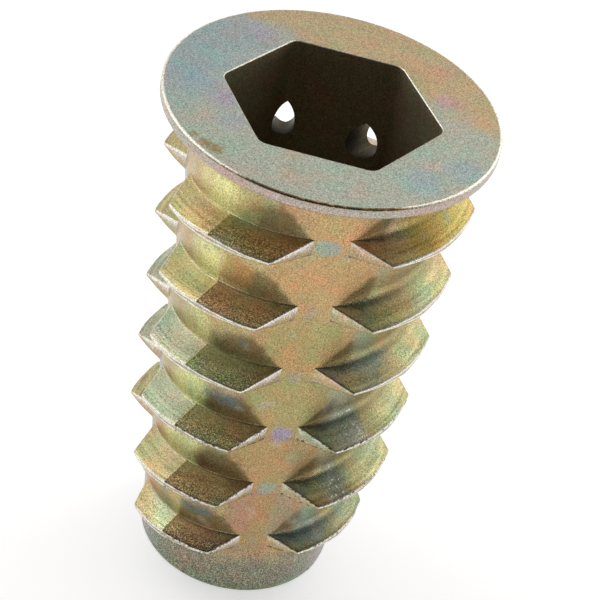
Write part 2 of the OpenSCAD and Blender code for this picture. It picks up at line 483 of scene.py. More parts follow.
# drop along one pitch, and radius; the steps of 0.03 and 0.04 mm ease the corners
BORE_ROWS = [(0.0, BORE_R), (0.25, BORE_R), (0.281, BORE_R + 0.04), (0.62, THREAD_R - 0.03), (0.66, THREAD_R),
             (0.78, THREAD_R), (0.82, THREAD_R - 0.03), (1.219, BORE_R + 0.04)]
bore_rows = [(BORE_PITCH * (turn + BORE_ANGLES / 360) - drop, np.full(BORE_COLUMNS, r))
             for turn in BORE_TURNS for drop, r in BORE_ROWS]
bore_z, bore_r = (np.array([row[i] for row in bore_rows]) for i in (0, 1))


def held_radius(z):
    """Bore radius of every column at one height, read along its rows."""
    return np.array([np.interp(-z, -bore_z[:, j], bore_r[:, j]) for j in range(BORE_COLUMNS)])


top_r, tip_r = held_radius(SOCKET_FLOOR), held_radius(0.0)
bore_r = np.where(bore_z > SOCKET_FLOOR, top_r[None, :], np.where(bore_z < 0, tip_r[None, :], bore_r))
bore_z = np.clip(bore_z, 0, SOCKET_FLOOR)
lead = LEAD_R - (LEAD_R - BORE_R) * (SOCKET_FLOOR - bore_z) / LEAD_HEIGHT
bevel = BORE_R + BORE_BEVEL - bore_z
bore_r = np.maximum(bore_r, np.maximum(lead, bevel))
bore_ids = helix_tube(BORE_ANGLES, bore_r, bore_z, [WALL] * len(bore_z), len(BORE_ROWS), inside=True)
stitch(socket_ring, list(ANGLES), bore_ids[0].tolist(), list(BORE_ANGLES))
print("with the bore:", len(points), "points")

# %% [markdown]
# ## The tip
# The tip is a flat ring with a rounded outer edge. It closes the mesh between the shank and the bore, which
# have different columns, so the last step is a stitch. A closed mesh has two faces on every edge, and its
# volume can be compared with the solid's.

# %% Rounded tip and closed mesh
ring = shank_ids[-1].tolist()
for s in (22.5, 45, 67.5, 90):
    r = body_at(ANGLES, TIP_ROUND) - TIP_ROUND + TIP_ROUND * cosine(s)
    lower = add_ring(ANGLES, r, TIP_ROUND - TIP_ROUND * sine(s), BODY)
    join_rings(ring, lower)
    ring = lower
stitch(bore_ids[-1].tolist(), list(BORE_ANGLES), ring, list(ANGLES))
mesh = bpy.data.meshes.new("threaded_insert_fine")
mesh.from_pydata([Vector(p) * MM for p in points], [], faces)
mesh.update()
build = bmesh.new()
build.from_mesh(mesh)
bmesh.ops.recalc_face_normals(build, faces=build.faces)
open_edges = sum(1 for e in build.edges if len(e.link_faces) != 2)
volume = build.calc_volume() / MM ** 3
build.to_mesh(mesh)
build.free()
print("open edges:", open_edges, "volume in mm3: %.1f" % volume, "faces:", len(mesh.polygons))

# %% [markdown]
# ## Two openings in the wall
# The far wall of the socket has two small upright openings, round at the foot and pointed at the head. They
# aren't quite radial, so each has a heading of its own. They cross both the plain wall inside and the tapered
# body outside, where no line of the grid could follow them, so they are cut with a boolean. The points of the
# uncut mesh are kept in a search tree, which tells later what kind of surface a new point lies on.

# %% Cut the wall openings
OPENING_START, OPENING_REACH, HEAD_CURVE = 4.3, (-0.9, 2.0), 0.25
# angle, depth under the flange face, width, height and heading
OPENINGS = ((100.3, 4.15, 1.19, 1.85, 86.0), (149.0, 4.0, 1.0, 1.75, 126.0))
insert = bpy.data.objects.new("threaded_insert_piece", mesh)
bpy.context.scene.collection.objects.link(insert)
source_points = KDTree(len(mesh.vertices))
for i, v in enumerate(mesh.vertices):
    source_points.insert(v.co, i)
source_points.balance()


def opening_outline(width, height):
    """Points round an opening, from its left side by the round foot to the pointed head and back."""
    half, foot = width / 2, (width - height) / 2
    outline = [(half * math.cos(a), foot + half * math.sin(a)) for a in np.radians(np.arange(180, 361, 15))]
    right = [(bezier(half, half, 0, s), bezier(foot, height * HEAD_CURVE, height / 2, s))
             for s in np.arange(1, 9) / 8]
    return outline + right + [(-y, z) for y, z in right[-2::-1]]


def opening_cutter(angle, depth, width, height, heading):
    """A closed upright slot through the wall at one angle and depth, which runs outwards along a heading."""
    outline = opening_outline(width, height)
    n = len(outline)
    slot = [(r, y, LENGTH - depth + z) for r in OPENING_REACH for y, z in outline]
    sides = [(k, (k + 1) % n, (k + 1) % n + n, k + n) for k in range(n)]
    ends = [tuple(range(n))[::-1], tuple(range(n, 2 * n))]
    shape = bpy.data.meshes.new("opening_cutter")
    shape.from_pydata([Vector(p) * MM for p in slot], [], sides + ends)
    shape.transform(Matrix.Rotation(math.radians(heading), 4, "Z"))
    start = Matrix.Rotation(math.radians(angle), 3, "Z") @ Vector((OPENING_START, 0, 0))
    shape.transform(Matrix.Translation(start * MM))
    ob = bpy.data.objects.new("opening_cutter", shape)
    bpy.context.scene.collection.objects.link(ob)
    return ob


for opening in OPENINGS:
    cutter = opening_cutter(*opening)
    cut = insert.modifiers.new("opening", "BOOLEAN")
    cut.operation, cut.solver, cut.object = "DIFFERENCE", "EXACT", cutter
    bpy.context.view_layer.update()
    done = bpy.data.meshes.new_from_object(insert.evaluated_get(bpy.context.evaluated_depsgraph_get()))
    insert.modifiers.remove(cut)
    insert.data = done
    bpy.data.objects.remove(cutter)
mesh = insert.data
print("after the openings:", len(mesh.vertices), "points,", len(mesh.polygons), "faces")

# %% [markdown]
# ## Where each point lies
# The finish of a casting follows its shape: proud edges are rubbed bare, the bath runs off along the columns
# and gathers under the ridges, and the masks also carry painted highlights, painted shade and painted
# reflections. All this could be painted by hand, but then it wouldn't follow a change of size. So the place
# of every point is worked out here, and the next cells turn the places into masks for the material.

# %% Places of the points
CUT_DISTANCE, TOOTH_BELOW = 0.001, 0.45
mesh.shade_smooth()
co = np.zeros(len(mesh.vertices) * 3)
mesh.vertices.foreach_get("co", co)
x, y, height = (co.reshape(-1, 3) / MM).T
angle, radius = np.degrees(np.arctan2(y, x)), np.hypot(x, y)
kind, cut_point = np.zeros(len(mesh.vertices), int), np.zeros(len(mesh.vertices), bool)
for i, v in enumerate(mesh.vertices):
    _, source, distance = source_points.find(v.co)
    kind[i], cut_point[i] = kinds[source], distance > CUT_DISTANCE * MM
tunnel_faces = [all(cut_point[i] for i in p.vertices) for p in mesh.polygons]
helix_angle = angle + 360 * np.round((height + TOOTH_BELOW - root_height(angle)) / PITCH)
tooth_top, tooth_body, tooth_full, tooth_share, tooth_land = tooth(helix_angle)
off_column = HALF_COLUMN - from_parting(angle)
below_root = tooth_top - height
shank = kind <= UNDER
print("points by kind:", {int(k): int((kind == k).sum()) for k in np.unique(kind)})

# %% [markdown]
# ## Helpers for the masks
# A mask is a number from 0 to 1 on each point, and the material reads it by its name. It is made of ramps,
# of windows with soft borders and of round spots. No two lobes of the real insert are stained alike, so a
# mask can also carry one weight for each lobe, or for each gap between two turns, from the flange down.

# %% Ramps, windows, spots and weights
def give(name, values, domain="POINT"):
    layer = mesh.attributes.new(name, "FLOAT", domain)
    layer.data.foreach_set("value", np.asarray(values, np.float32))


def ramp(value, start, end):
    """0 before the start, 1 past the end and a straight slope between; the end may be the lower value."""
    return np.clip((value - start) / (end - start), 0, 1)


def window(value, middle, half, soft):
    """1 within half of the middle, falling to 0 over the soft border."""
    return np.clip((half + soft - np.abs(value - middle)) / soft, 0, 1)


def spots(*places):
    """Soft round spots on the flange face; each is x, y and a radius in mm."""
    return np.max([np.exp(-((x - px) ** 2 + (y - py) ** 2) / size ** 2) for px, py, size in places], axis=0)


turns_down = (LENGTH - THREAD_DROP + PITCH * (angle + HALF_COLUMN) / 360 - height) / PITCH
lobe_number = np.clip(np.round(turns_down + 0.1), 0, 5).astype(int)
gap_number = np.clip(np.floor(turns_down) + 1, 0, 6).astype(int)


def by_lobe(*weights):
    return np.array(weights)[lobe_number]


def by_gap(*weights):
    return np.array(weights)[gap_number]


print("lobes with a weight:", lobe_number.max() + 1, "gaps:", gap_number.max() + 1)

# %% [markdown]
# ## Parts of the thread
# Before the masks, each point is told which part of the thread it is on, and how far down the crest or out
# on the flank. Left, right and front are meant as the camera sees them: the left slide of the mould ends at
# the crisp parting line at -90 degrees, and the front slide lies between that and the worn one at 0.

# %% Parts of the thread
THREAD_FOOT = 3.3
on_tooth, threaded = shank & (tooth_share > 0.02), height > THREAD_FOOT
plain = shank & ((kind == BODY) | (kind == UNDER) | ~on_tooth)
flank = (kind == FLANK) & on_tooth
above_root = np.where(below_root > 0, PITCH - below_root, -below_root)
crest_z = tooth_top - flank_drop(helix_angle) * tooth_share
foot_z = tooth_top - flank_drop(helix_angle) - tooth_land - UNDER_DROP * (1 - tooth_share)
down_crest = np.clip((crest_z - height) / np.maximum(crest_z - foot_z, 0.01), 0, 1)
crest_share = np.clip((radius - tooth_body) / np.maximum(tooth_full, 0.1), 0, 1)
on_crest = on_tooth & ((kind == LAND) | (kind == EDGE))
on_notch = on_crest & (off_column > STRIP_ANGLE - 0.1) & (off_column < CORNER_ANGLE + 0.2)
left_slide, front_slide = window(angle, -135, 43.5, 1.5), window(angle, -45, 43.5, 1.5)
left_half, right_half = window(angle, -67, 22, 3), window(angle, -22, 12, 22) * (angle > -HALF_COLUMN)
print("points on flanks, crests and notches:", [int(part.sum()) for part in (flank, on_crest, on_notch)])

# %% [markdown]
# ## Masks of the edges and flanks
# The film is rubbed off the proud edges, and their bright line is also a painted highlight, faint on the
# front of the rim, where a painted dark reflection runs instead. The film is chipped and dark in small nicks,
# and a painted highlight runs along the root of the flanks on the left slide. On the flanks the film drifts
# from lobe to lobe: rust and moss on the left half, pale or honey on the left slide, and bronze and sage on
# the worn right half. One even colour would be simpler, but it would look like paint.

# %% Edges and flanks
rim, front_rim = (kind == EDGE) & (height > LENGTH - 0.3), window(angle, -55, 24, 6) * (radius > 6)
notch_edge = on_notch * (angle < -HALF_COLUMN) * (down_crest < 0.5)
crest_edge = np.where(on_notch, 0.8 * notch_edge, on_crest * (1 - 0.15 * left_half))
# Painted highlight: a bright line on the crest edges, on the notch edges at angles below -45 degrees and on
# the rims, faint on the front of the flange rim; it also stands for the film rubbed off the edges.
give("edge", np.where(rim, 1 - 0.75 * front_rim, (kind == EDGE) * crest_edge))
# Painted reflection: a broken dark line along the front of the flange rim, where it mirrors the dim side of
# the studio.
give("rim_painted_reflection", rim * front_rim)
in_sight = (0.8 + 0.2 * window(angle, -40, 60, 30)) * (1 - 0.7 * left_slide)
give("nick", (kind == EDGE) * on_crest * in_sight * by_lobe(0.4, 0.6, 0.8, 1, 1, 1))
give("underside", (kind == UNDER) * on_tooth)
give("land", on_crest & ~on_notch & (kind == LAND))
give("notch", on_notch * (1 - 0.9 * down_crest) * np.where(angle < -HALF_COLUMN, 1, 0.6))
give("foot", on_notch * down_crest)
give("flank", flank * crest_share)
give("crest", flank * ramp(crest_share, 0.2, 0.8) * left_half)
# Painted highlight: a bright cream line at the root of the flanks on the left slide.
give("root", left_slide * flank * ramp(crest_share, 0.1, 0))
on_flank, near_crest, off_pinch = flank * threaded, ramp(crest_share, 0.45, 0.85), ramp(off_column, 12, 26)
give("rust", on_flank * left_half * off_pinch * by_lobe(0.7, 1, 0, 0.5, 0.4, 0.9))
give("moss", on_flank * left_half * off_pinch * by_lobe(0.7, 0, 1, 0.6, 0.4, 0))
give("pale", on_flank * left_slide * by_lobe(0.1, 0.2, 1, 0.9, 0.5, 0.8))
give("honey", on_flank * left_slide * by_lobe(0.8, 0.8, 0, 0.1, 0.6, 0.1))
give("bronze", on_flank * right_half * near_crest * by_lobe(0.5, 0.2, 0.3, 0.9, 1, 0.3))
give("sage", on_flank * right_half * (1 - near_crest) * by_lobe(0, 0.5, 0.9, 0.5, 0.7, 1))
print("masks so far:", sum(a.data_type == "FLOAT" for a in mesh.attributes))

# %% [markdown]
# ## Masks of the columns
# The notch columns are tan with green and rose stains that differ from gap to gap, and the pinch between two
# notches is teal or violet. The body beside a pinch is dark on the front slide, and so are the flanks towards
# their root. Part of that darkness is a shadow, and part is the dark flanks mirrored in the body, but the
# studio light alone leaves it too pale, so it is also a mask and is painted: painted shade and painted
# reflection.

# %% Columns and dark patches
column = plain * window(off_column, 0, 17, 12) * ramp(height, 2, 4)
give("column", column)
# Painted shade: the columns get darker from 21 mm down to 15 mm and below, nearer the floor.
give("low", column * ramp(height, 21, 15))
give("green", column * by_gap(0.1, 0.1, 0.75, 1.0, 0.3, 0.1, 0.4))
give("rose", column * by_gap(0.2, 0.1, 0.1, 0.5, 0.2, 0.8, 0.1))
give("verdigris", column * window(angle, -33, 4, 9) * by_gap(0.1, 0.3, 0.2, 0.4, 0.7, 1.0, 0.5))
give("magenta", column * window(angle, -58, 5, 9) * by_gap(0.7, 0.1, 0.1, 0.1, 0.3, 1.0, 0.3))
band = plain * window(off_column, 0, 3, 8) * window(below_root, 0.42, 0.15, 0.8)
give("teal", band * by_lobe(1, 0.1, 0.3, 0.3, 1, 0.5))
give("violet", band * by_lobe(0, 0.7, 0.8, 1, 0.2, 0.6))
GLOOM_ANGLES, GLOOM_TOPS, GLOOM_BORDER = [7, 12, 18, 23, 45], [0.0, 0.6, 1.2, 1.65, 1.5], 0.45
lit_crease = 1 - by_lobe(0.9, 0.9, 0.3, 0, 0, 0) * ramp(off_column, 28, 40)
worn_light = np.where(angle > -HALF_COLUMN, np.maximum(ramp(off_column, 29, 21), 0.1), 1)
under_top = ramp(np.interp(off_column, GLOOM_ANGLES, GLOOM_TOPS) - above_root, 0, GLOOM_BORDER)
body_gloom = lit_crease * worn_light * plain * threaded * under_top * (above_root > 0.02)
to_root = np.clip(1.1 - 0.9 * crest_share - 0.03 * np.maximum(off_column - 14, 0), 0, 1)
flank_gloom = worn_light * flank * to_root
# Painted shade and reflection: the body beside the pinches and the flanks towards their root, on the front
# slide.
give("gloom", front_slide * np.maximum(body_gloom, 0.6 * flank_gloom))
print("masks so far:", sum(a.data_type == "FLOAT" for a in mesh.attributes))

# %% [markdown]
# ## Masks of the body
# Between the turns, the body glows lime left of the crisp parting line, orange along it and teal on its
# right. On the worn line at 0 degrees it is grey and gold, with frosted specks where the film is rubbed
# through. These could be materials of their own, but as masks they fade into one another like a real film.

# %% Body between the turns
beside = threaded * plain
teal_side = left_half * window(off_column, 34, 6, 12) * window(above_root, 1.1, 0.15, 0.5)
give("under", beside * teal_side * by_lobe(0, 0, 0.6, 1, 0.4, 0.9))
lime_side = ramp(angle, -79, -91) * ramp(angle, -142, -114)
lime_side = lime_side * window(off_column, 44, 6, 22) * window(above_root, 0.6, 0.7, 0.4)
give("lime", beside * lime_side * by_lobe(0.8, 0.7, 0.4, 0.9, 1, 0.2))
orange_line = window(angle, -82, 5, 8) * window(above_root, 1.0, 0.6, 0.5)
give("ember", beside * orange_line * by_lobe(0.6, 1, 0.5, 0.2, 0.2, 0.3))
give("seam", beside * window(angle, -90, 0.25, 0.5) * by_lobe(0.6, 1, 0.6, 0.3, 0.3, 0.3))
worn_side = threaded * shank * right_half
rubbed = window(off_column, 33, 5, 14) * window(below_root, 0.0, 0.5, 0.5)
give("frost", worn_side * rubbed * by_lobe(0, 0.4, 0.9, 1, 1, 0.9))
give("grey", worn_side * window(off_column, 30, 5, 15) * by_lobe(0, 0.2, 0.6, 0.9, 0.7, 0.8))
give("gold", worn_side * window(off_column, 38, 6, 14) * by_lobe(0.9, 0.5, 0.4, 0.1, 0.3, 0))
# Painted shade: the first turn is darker between about -6 and 34 degrees, under the flange.
give("flange_painted_shade", threaded * shank * window(angle, 14, 20, 12) * by_lobe(1, 0.2, 0, 0, 0, 0))
print("masks so far:", sum(a.data_type == "FLOAT" for a in mesh.attributes))

# %% [markdown]
# ## Masks of the tip, the flange and the socket
# The tip is grey, greener at its foot and lilac at the sides. The flange face has a tan far side, a cool left
# side, a few lilac, pink and blue clouds, one brown stain and four pits. Two more numbers say where a point
# lies along and across the thread, in millimetres, for marks that follow the helix.

# %% Tip, flange and socket
give("tip", ramp(height, 3.6, 1.0) * shank)
give("tip_sides", ramp(height, 3.4, 0.4) * shank * ramp(np.abs(angle + 55), 35, 65))
give("tip_foot", ramp(height, 1.3, 0.4) * shank)
give("wall", kind == WALL)
# Painted shade: the inner faces of the two openings are dark, where little light reaches them inside the
# wall.
give("tunnel_painted_shade", tunnel_faces, "FACE")
give("side", kind == SIDE)
face = kind == FLAT
give("flat", face)
give("tan", face * ramp(0.98 * y - 0.17 * x, 1.2, 4.4))
give("cool", face * ramp(-x, 1.5, 5.5))
give("lilac", face * spots((-1.6, -4.5, 1.0), (-2.8, -3.7, 1.0), (2.9, 4.2, 0.8), (-5.4, 1.6, 1.0)))
give("pink", face * spots((1.2, 6.2, 1.0), (3.2, 4.4, 0.8)))
give("blue", face * spots((6.4, 0.7, 1.2), (5.6, -1.4, 1.3), (-4.4, -3.4, 1.2)))
give("brown", face * spots((-0.75, -6.6, 0.5), (-1.25, -6.65, 0.4), (-1.9, -6.6, 0.3)))
give("pits", face * spots((4.19, 4.74, 0.09), (4.51, 4.44, 0.07), (-2.0, 5.9, 0.05), (3.6, -5.2, 0.05)))
give("along", np.radians(helix_angle) * tooth_body)
give("across", np.where(plain, -above_root, np.clip(radius - tooth_body, -0.5, 2.0)))
print("masks:", [a.name for a in mesh.attributes if a.data_type == "FLOAT"])

# %% [markdown]
# ## Crisp lines
# Smooth shading would blur the fold of the flank on the crisp parting lines and the edges of the openings. A
# bevel would sharpen them with more faces, but here it is enough to mark those edges sharp, by their angle or
# by lying on a parting line.

# %% Mark the sharp edges
SHARP_ANGLE, PROUD = 38, 0.05
mesh.set_sharp_from_angle(angle=math.radians(SHARP_ANGLE))
sharp = mesh.attributes.get("sharp_edge") or mesh.attributes.new("sharp_edge", "BOOLEAN", "EDGE")
flags = np.zeros(len(mesh.edges), bool)
sharp.data.foreach_get("value", flags)
edge_ends = np.zeros(len(mesh.edges) * 2, int)
mesh.edges.foreach_get("vertices", edge_ends)
on_parting = (from_parting(angle) < 1e-3) & (from_worn(angle) > 1) & shank & (radius > tooth_body + PROUD)
flags |= on_parting[edge_ends.reshape(-1, 2)].all(axis=1)
sharp.data.foreach_set("value", flags)
print("sharp edges:", int(flags.sum()))

# %% [markdown]
# ## Yellow chromate on die-cast zinc
# The casting is zinc alloy, dipped in a yellow chromate bath. The film is so thin that light interferes in
# it, so its olive yellow drifts to orange, green, blue and lilac where it is thicker or thinner. It could be
# made with a thin-film shader, but painted drifts are easier to match. One helper adds every node.

# %% Colours and a node helper
def linear(hex_colour):
    """sRGB hex to linear colour."""
    c = [int(hex_colour[i:i + 2], 16) / 255 for i in (1, 3, 5)]
    return tuple(v / 12.92 if v <= 0.04045 else ((v + 0.055) / 1.055) ** 2.4 for v in c) + (1.0,)


def add(tree, node_type, inputs=(), stops=(), **settings):
    """Adds a node with its settings and colour stops; an input is another node's output or a plain value."""
    node = tree.nodes.new(node_type)
    for name, value in settings.items():
        setattr(node, name, value)
    for name, value in dict(inputs).items():
        if isinstance(value, bpy.types.NodeSocket):
            tree.links.new(value, node.inputs[name])
        else:
            node.inputs[name].default_value = value
    for i, (position, stop_colour) in enumerate(stops):
        stop = node.color_ramp.elements[i] if i < 2 else node.color_ramp.elements.new(position)
        stop.position, stop.color = position, linear(stop_colour)
    return node


zinc = bpy.data.materials.new("yellow chromated zinc casting")
zinc.use_nodes = True
tree = zinc.node_tree
tree.nodes.clear()
place = add(tree, "ShaderNodeTexCoord").outputs["Object"]
print("material:", zinc.name)

# %% [markdown]
# ## The drift of the film
# Six noises carry the finish, from slow drifts of the film through patches and clouds to specks, nicks and
# the grain of the cast skin. The real grain is about 0.03 mm, and it is drawn at 0.06 mm so that it shows. A
# seventh noise is stretched along the thread, for the fine marks on its flanks. Painted pictures could do the
# same, but a noise has no seams and fits every side.

# %% Noises and the film's colours
NOISES = {"drift": (3.8, 2.0), "patch": (1.3, 2.0), "speck": (0.32, 2.0), "nick": (0.16, 1.0),
          "mottle": (1.2, 1.0), "grain": (0.06, 2.0)}  # size in mm and detail
STREAK_WIDTH, STREAK_LENGTH = 0.16, 2.8
FILM = [(0.28, "#93A194"), (0.40, "#A6A67C"), (0.50, "#B9AC7C"), (0.60, "#BCA67C"), (0.70, "#B39C80"),
        (0.78, "#A29B9E")]
noise = {}
for name, (size, detail) in NOISES.items():
    inputs = {"Vector": place, "Scale": 1 / (size * MM), "Detail": detail, "Roughness": 0.6}
    noise[name] = add(tree, "ShaderNodeTexNoise", inputs).outputs["Fac"]
mask = {a.name: add(tree, "ShaderNodeAttribute", attribute_name=a.name).outputs["Fac"]
        for a in mesh.attributes if a.data_type == "FLOAT"}
thread_place = add(tree, "ShaderNodeCombineXYZ", {0: mask["across"], 1: mask["along"]}).outputs["Vector"]
stretched = add(tree, "ShaderNodeVectorMath", {0: thread_place, 1: (1 / STREAK_WIDTH, 1 / STREAK_LENGTH, 0)},
                operation="MULTIPLY").outputs["Vector"]
streaks = add(tree, "ShaderNodeTexNoise", {"Vector": stretched, "Scale": 1.0, "Detail": 1.0}).outputs["Fac"]
colour = add(tree, "ShaderNodeValToRGB", {"Fac": noise["drift"]}, FILM).outputs["Color"]
print("noises:", list(noise), "masks:", len(mask))

# %% [markdown]
# ## Tints by place
# A stain of the bath has a broken border. Vertex colours could place the tints, but their borders would be
# as coarse as the mesh. So each tint is laid where its mask and a noise together pass an onset. A low onset
# fills the whole mask, and a high one leaves only patches where the noise is strong.

# %% Tints of the film
TINTS = (  # mask, colour, strongest cover, noise that breaks it up, onset and width of the border
    ("column", "#BE9A6C", 0.80, "patch", 0.55, 0.8),
    # painted shade, darker lower down the columns
    ("low", "#A3875C", 0.55, "patch", 0.80, 0.6),
    ("green", "#A3A46E", 0.70, "patch", 0.85, 0.9),
    ("rose", "#B5846A", 0.65, "patch", 0.85, 0.9),
    ("verdigris", "#94A594", 0.50, "patch", 0.85, 1.0),
    ("magenta", "#B4877F", 0.50, "patch", 0.85, 1.0),
    # painted shade and reflection beside the pinches and on the lower flanks
    ("gloom", "#655839", 0.74, "patch", 0.75, 0.6),
    ("lime", "#F0EAA2", 0.92, "patch", 0.55, 0.8),
    ("lime", "#BCCB98", 0.60, "drift", 1.05, 0.6),
    ("rust", "#C3A078", 0.75, "patch", 0.80, 0.8),
    ("moss", "#A8AA7E", 0.75, "patch", 0.80, 0.8),
    ("underside", "#C2BCB0", 0.85, "patch", 0.60, 0.6),
    ("pale", "#ADB298", 0.75, "patch", 0.75, 0.8),
    ("honey", "#B8AA6C", 0.75, "patch", 0.80, 0.8),
    ("sage", "#8FA396", 0.75, "patch", 0.85, 0.7),
    ("bronze", "#B08D4C", 0.75, "patch", 0.85, 0.7),
    ("under", "#5F8188", 0.65, "patch", 0.80, 0.7),
    ("gold", "#B59A4E", 0.70, "patch", 0.85, 0.7),
    ("grey", "#9DAAA0", 0.65, "patch", 0.90, 0.7),
    ("ember", "#BE8850", 0.70, "patch", 0.80, 0.8),
    # painted shade on the first turn under the flange
    ("flange_painted_shade", "#B59C50", 0.80, "patch", 0.80, 0.8),
    ("frost", "#5C573F", 0.50, "patch", 1.30, 0.4),
    ("frost", "#C9D0C4", 0.55, "mottle", 1.30, 0.4),
    ("frost", "#F2F2EA", 0.75, "nick", 1.60, 0.12),
    ("seam", "#D8B49A", 0.55, "speck", 0.90, 0.4),
    ("teal", "#8BA9A2", 0.75, "patch", 0.95, 0.6),
    ("violet", "#9791B0", 0.75, "patch", 0.95, 0.6),
    ("tip", "#7E7D71", 0.80, "patch", 0.60, 0.6),
    ("tip_foot", "#7B8670", 0.60, "patch", 0.80, 0.7),
    ("tip_sides", "#A2979C", 0.60, "patch", 0.80, 0.7),
    ("side", "#B3A7A2", 0.80, "patch", 0.70, 0.4),
    ("flat", "#ACB2A4", 0.92, "patch", 0.60, 0.4),
    ("flat", "#B5B096", 0.50, "patch", 1.35, 0.5),
    ("cool", "#93A4AA", 0.70, "patch", 0.70, 0.8),
    ("tan", "#C0A476", 0.85, "patch", 0.65, 0.8),
    ("lilac", "#A79CB4", 0.60, "patch", 0.80, 0.9),
    ("pink", "#C39684", 0.65, "patch", 0.80, 0.9),
    ("blue", "#8DA6B4", 0.60, "patch", 0.80, 0.9),
    ("brown", "#9C7743", 0.80, "speck", 0.85, 0.6),
    ("pits", "#4A3B2A", 0.80, "speck", 0.95, 0.4),
    ("land", "#B3A69E", 0.75, "patch", 0.70, 0.4),
    ("notch", "#DAD0CA", 0.85, "speck", 0.80, 0.5),
    ("foot", "#B09A78", 0.80, "patch", 0.75, 0.5),
    # painted highlight at the root of the flanks on the left slide
    ("root", "#E6E0C0", 0.60, "speck", 1.05, 0.4),
    # painted highlight on the edges, where the film is also rubbed off
    ("edge", "#F4EEDE", 0.95, "speck", 0.95, 0.5),
    ("nick", "#4A3D2B", 0.85, "nick", 1.48, 0.15),
    # painted dark reflection along the front of the flange rim
    ("rim_painted_reflection", "#4A3F33", 0.75, "speck", 1.25, 0.3),
    ("wall", "#A39579", 0.95, "patch", 0.60, 0.4),
    # painted shade inside the openings
    ("tunnel_painted_shade", "#3A3226", 0.95, "speck", 0.80, 0.4),
)
for name, tint, share, break_up, onset, border in TINTS:
    total = add(tree, "ShaderNodeMath", {0: mask[name], 1: noise[break_up]}, operation="ADD").outputs[0]
    inputs = {"Value": total, "From Min": onset, "From Max": onset + border, "To Max": share}
    cover = add(tree, "ShaderNodeMapRange", inputs, interpolation_type="SMOOTHSTEP").outputs["Result"]
    colour = add(tree, "ShaderNodeMix", {0: cover, 6: colour, 7: linear(tint)}, data_type="RGBA").outputs[2]
print("tints:", len(TINTS))

# %% [markdown]
# ## Clouds in the film
# Over all the tints, the film has faint green and pink clouds about a millimetre wide. More tints could make
# them, but an overlay shifts the hue and leaves light and dark as they are. The grey between the clouds is
# the one at which the overlay changes nothing.

# %% Green and pink clouds
MOTTLE = [(0.34, "#A2CBC4"), (0.46, "#BCBCBC"), (0.56, "#BCBCBC"), (0.68, "#D8B2B4")]
MOTTLE_SHARE = 0.32
hues = add(tree, "ShaderNodeValToRGB", {"Fac": noise["mottle"]}, MOTTLE).outputs["Color"]
colour = add(tree, "ShaderNodeMix", {0: MOTTLE_SHARE, 6: colour, 7: hues}, data_type="RGBA",
             blend_type="OVERLAY").outputs[2]
print("cloud colours:", [stop[1] for stop in MOTTLE])

# %% [markdown]
# ## Shade of the cast skin
# Seen close, the skin is granular: each grain reflects a little more or less. It is roughest near the crests
# and on the tip, and the flanks carry fine marks along the helix. A bump alone hardly shows grain this fine,
# so the grain and the marks also make the colour lighter and darker.

# %% Grain and marks in the colour
PLAIN_CONTRAST, CONTRASTS = 2.4, {"crest": 5.5, "flank": 0.6, "tip": 4.5}
MARK_CONTRAST, DARKEST, MIDDLE = 2.0, 0.45, 0.5
contrast = PLAIN_CONTRAST
for name, amount in CONTRASTS.items():
    contrast = add(tree, "ShaderNodeMath", {0: mask[name], 1: amount, 2: contrast},
                   operation="MULTIPLY_ADD").outputs[0]
grain = add(tree, "ShaderNodeMath", {0: noise["grain"], 1: MIDDLE}, operation="SUBTRACT").outputs[0]
shade = add(tree, "ShaderNodeMath", {0: grain, 1: contrast, 2: 1.0}, operation="MULTIPLY_ADD").outputs[0]
marks = add(tree, "ShaderNodeMath", {0: streaks, 1: MIDDLE}, operation="SUBTRACT").outputs[0]
marks = add(tree, "ShaderNodeMath", {0: marks, 1: mask["flank"]}, operation="MULTIPLY").outputs[0]
shade = add(tree, "ShaderNodeMath", {0: marks, 1: MARK_CONTRAST, 2: shade},
            operation="MULTIPLY_ADD").outputs[0]
shade = add(tree, "ShaderNodeMath", {0: shade, 1: DARKEST}, operation="MAXIMUM").outputs[0]
grained = add(tree, "ShaderNodeVectorMath", {0: colour, "Scale": shade}, operation="SCALE").outputs["Vector"]
print("contrast of the grain:", PLAIN_CONTRAST, "and more on", list(CONTRASTS))

# %% [markdown]
# ## Relief and gloss of the cast skin
# The grain, the marks and the upright ribs on the notch faces, about 0.11 mm apart, also stand out a little.
# They are too fine for the mesh, so they are added up as one height in millimetres for the bump. A chromated
# casting is satin, glossier in some patches than in others, and the socket and bore are duller.

# %% Relief, gloss and shader
RIB_SPACING = 0.11
GRAIN_HEIGHT, MARK_HEIGHT, RIB_HEIGHT = 0.016, 0.005, 0.004
GLOSSY, SATIN, WALL_DULLNESS = 0.24, 0.34, 0.35
mark_part = add(tree, "ShaderNodeMath", {0: streaks, 1: mask["flank"]}, operation="MULTIPLY").outputs[0]
rib_turns = add(tree, "ShaderNodeMath", {0: mask["along"], 1: 2 * math.pi / RIB_SPACING},
                operation="MULTIPLY").outputs[0]
ribs = add(tree, "ShaderNodeMath", {0: rib_turns}, operation="SINE").outputs[0]
rib_part = add(tree, "ShaderNodeMath", {0: ribs, 1: mask["notch"]}, operation="MULTIPLY").outputs[0]
relief = add(tree, "ShaderNodeMath", {0: noise["grain"], 1: GRAIN_HEIGHT}, operation="MULTIPLY").outputs[0]
for part, amount in ((mark_part, MARK_HEIGHT), (rib_part, RIB_HEIGHT)):
    relief = add(tree, "ShaderNodeMath", {0: part, 1: amount, 2: relief}, operation="MULTIPLY_ADD").outputs[0]
bump = add(tree, "ShaderNodeBump", {"Height": relief, "Strength": 1.0, "Distance": MM}).outputs["Normal"]
inputs = {"Value": noise["patch"], "From Min": 0.3, "From Max": 0.7, "To Min": GLOSSY, "To Max": SATIN}
gloss = add(tree, "ShaderNodeMapRange", inputs).outputs["Result"]
gloss = add(tree, "ShaderNodeMath", {0: mask["wall"], 1: WALL_DULLNESS, 2: gloss},
            operation="MULTIPLY_ADD").outputs[0]
